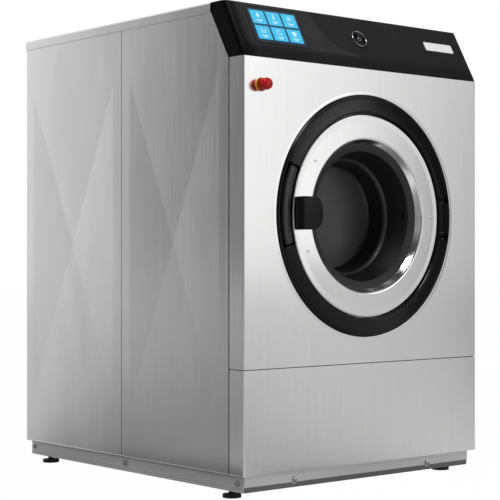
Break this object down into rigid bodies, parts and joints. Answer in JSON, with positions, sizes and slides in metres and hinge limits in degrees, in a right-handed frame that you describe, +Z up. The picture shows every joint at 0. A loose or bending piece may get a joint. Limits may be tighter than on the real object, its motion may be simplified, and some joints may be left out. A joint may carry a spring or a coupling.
{
  "type": "washing machine",
  "caption": "Free-standing front-loading washer with a stainless front, round hinged porthole door, sloped black touch console, emergency stop, sprung tub and belt-driven drum.",
  "frame": {"origin": "on the floor, under the middle of the bounding box", "axes": "+Z up, -Y towards the front with the door, +X to the right seen from the front"},
  "size_m": [0.855, 1.1016, 1.245],
  "materials": {
    "stainless_front": "vertically brushed stainless, fairly bright",
    "side_sheet": "satin grey coated sheet",
    "base_sheet": "satin grey coated steel",
    "frame_steel": "galvanised",
    "console_black": "fine-grained satin moulding",
    "screen_glass": "glossy, lit tiles",
    "button_black": "polished",
    "bezel_grey": "satin dark grey",
    "stop_yellow": "semi-gloss",
    "stop_red": "semi-gloss",
    "collar_black": "satin moulding",
    "door_steel": "polished stainless, circular grain",
    "door_black": "satin moulding",
    "seal_rubber": "matte",
    "bowl_glass": "smoked",
    "hinge_steel": "plated",
    "lock_plastic": "moulded",
    "foot_rubber": "matte",
    "drum_steel": "bright stainless",
    "tub_steel": "stainless",
    "cast_iron": "painted casting",
    "bearing_steel": "ground",
    "pulley_alloy": "machined",
    "belt_rubber": "ribbed",
    "motor_paint": "semi-gloss",
    "spring_steel": "coated",
    "hose_rubber": "ribbed",
    "plumbing_plastic": "moulded",
    "valve_plastic": "moulded"
  },
  "bodies": {
    "cabinet": {"base_frame": "base_sheet", "base_front_strip": "base_sheet", "inner_frame": "frame_steel", "front_frame_plate": "frame_steel", "side_panel_front_left": "side_sheet", "side_panel_front_right": "side_sheet", "side_panel_rear_left": "side_sheet", "side_panel_rear_right": "side_sheet", "front_panel_upper": "stainless_front", "front_panel_lower": "stainless_front", "top_lid": "side_sheet", "rear_panel": "side_sheet", "console_shell": "console_black", "touch_screen": "screen_glass", "button_bezel": "bezel_grey", "e_stop_base": "stop_yellow", "door_collar": "collar_black", "hinge_bracket": "door_black", "hinge_pin": "hinge_steel", "door_lock": "lock_plastic", "door_bellows": "seal_rubber", "damper_cylinders": "spring_steel", "suspension_springs": "spring_steel", "drain_valve": "plumbing_plastic", "drain_hose": "hose_rubber", "dispenser_box": "plumbing_plastic", "fill_hose": "hose_rubber", "inlet_valves": "valve_plastic", "inverter_box": "motor_paint", "cable_gland": "lock_plastic"},
    "door": {"door_ring": "door_steel", "door_back_ring": "door_black", "door_seal": "seal_rubber", "door_glass": "bowl_glass", "door_handle": "door_black", "door_grip_bar": "collar_black", "hinge_arms": "door_black", "door_latch": "hinge_steel"},
    "tub": {"tub_shell": "tub_steel", "counterweights": "cast_iron", "bearing_housing": "cast_iron", "shaft_bearings": "bearing_steel", "drive_motor": "motor_paint", "drive_belt": "belt_rubber", "tub_cradle": "base_sheet", "damper_rods": "hinge_steel"},
    "drum": {"drum_shell": "drum_steel", "drum_front": "drum_steel", "drum_lifters": "drum_steel", "drum_spider": "frame_steel", "drum_pulley": "pulley_alloy"},
    "motor_rotor": {"motor_pulley": "pulley_alloy"},
    "lock_pin": {"lock_bolt": "hinge_steel"},
    "stop_plunger": {"e_stop_stem": "bezel_grey"},
    "stop_cap": {"e_stop_head": "stop_red"},
    "button": {"start_button": "button_black"},
    "leg_front_left": {"foot_front_left": "foot_rubber"},
    "leg_front_right": {"foot_front_right": "foot_rubber"},
    "leg_rear_left": {"foot_rear_left": "foot_rubber"},
    "leg_rear_right": {"foot_rear_right": "foot_rubber"}
  },
  "joints": [
    {"name": "door_hinge", "type": "hinge", "parent": "cabinet", "child": "door", "pos_m": [0.296, -0.50525, 0.7126], "axis": [0, 0, 1], "range_deg": [0, 110]},
    {"name": "tub_bounce", "type": "slide", "parent": "cabinet", "child": "tub", "axis": [0, 0, 1], "range_m": [-0.012, 0.012], "stiffness_N_per_m": 60000, "springref_m": 0.03852, "deforming": ["suspension_springs", "drain_hose", "fill_hose", "door_bellows"]},
    {"name": "drum_spin", "type": "hinge", "parent": "tub", "child": "drum", "pos_m": [0, 0.08475, 0.7126], "axis": [0, 1, 0], "continuous": true},
    {"name": "motor_spin", "type": "hinge", "parent": "tub", "child": "motor_rotor", "pos_m": [0, 0.27675, 0.2266], "axis": [0, 1, 0], "continuous": true},
    {"name": "lock_slide", "type": "slide", "parent": "cabinet", "child": "lock_pin", "axis": [1, 0, 0], "range_m": [0, 0.02]},
    {"name": "stop_push", "type": "slide", "parent": "cabinet", "child": "stop_plunger", "axis": [0, 1, 0], "range_m": [0, 0.005]},
    {"name": "stop_twist", "type": "hinge", "parent": "stop_plunger", "child": "stop_cap", "pos_m": [-0.369, -0.53525, 1.031], "axis": [0, -1, 0], "range_deg": [-40, 0], "stiffness_Nm_per_rad": 0.15},
    {"name": "button_push", "type": "slide", "parent": "cabinet", "child": "button", "axis": [0, 0.8776, -0.4794], "range_m": [0, 0.003], "stiffness_N_per_m": 900},
    {"name": "level_front_left", "type": "slide", "parent": "cabinet", "child": "leg_front_left", "axis": [0, 0, 1], "range_m": [-0.015, 0.01]},
    {"name": "level_front_right", "type": "slide", "parent": "cabinet", "child": "leg_front_right", "axis": [0, 0, 1], "range_m": [-0.015, 0.01]},
    {"name": "level_rear_left", "type": "slide", "parent": "cabinet", "child": "leg_rear_left", "axis": [0, 0, 1], "range_m": [-0.015, 0.01]},
    {"name": "level_rear_right", "type": "slide", "parent": "cabinet", "child": "leg_rear_right", "axis": [0, 0, 1], "range_m": [-0.015, 0.01]}
  ],
  "couplings": [
    {"joint": "motor_spin", "follows": "drum_spin", "ratio": 5.1111}
  ]
}
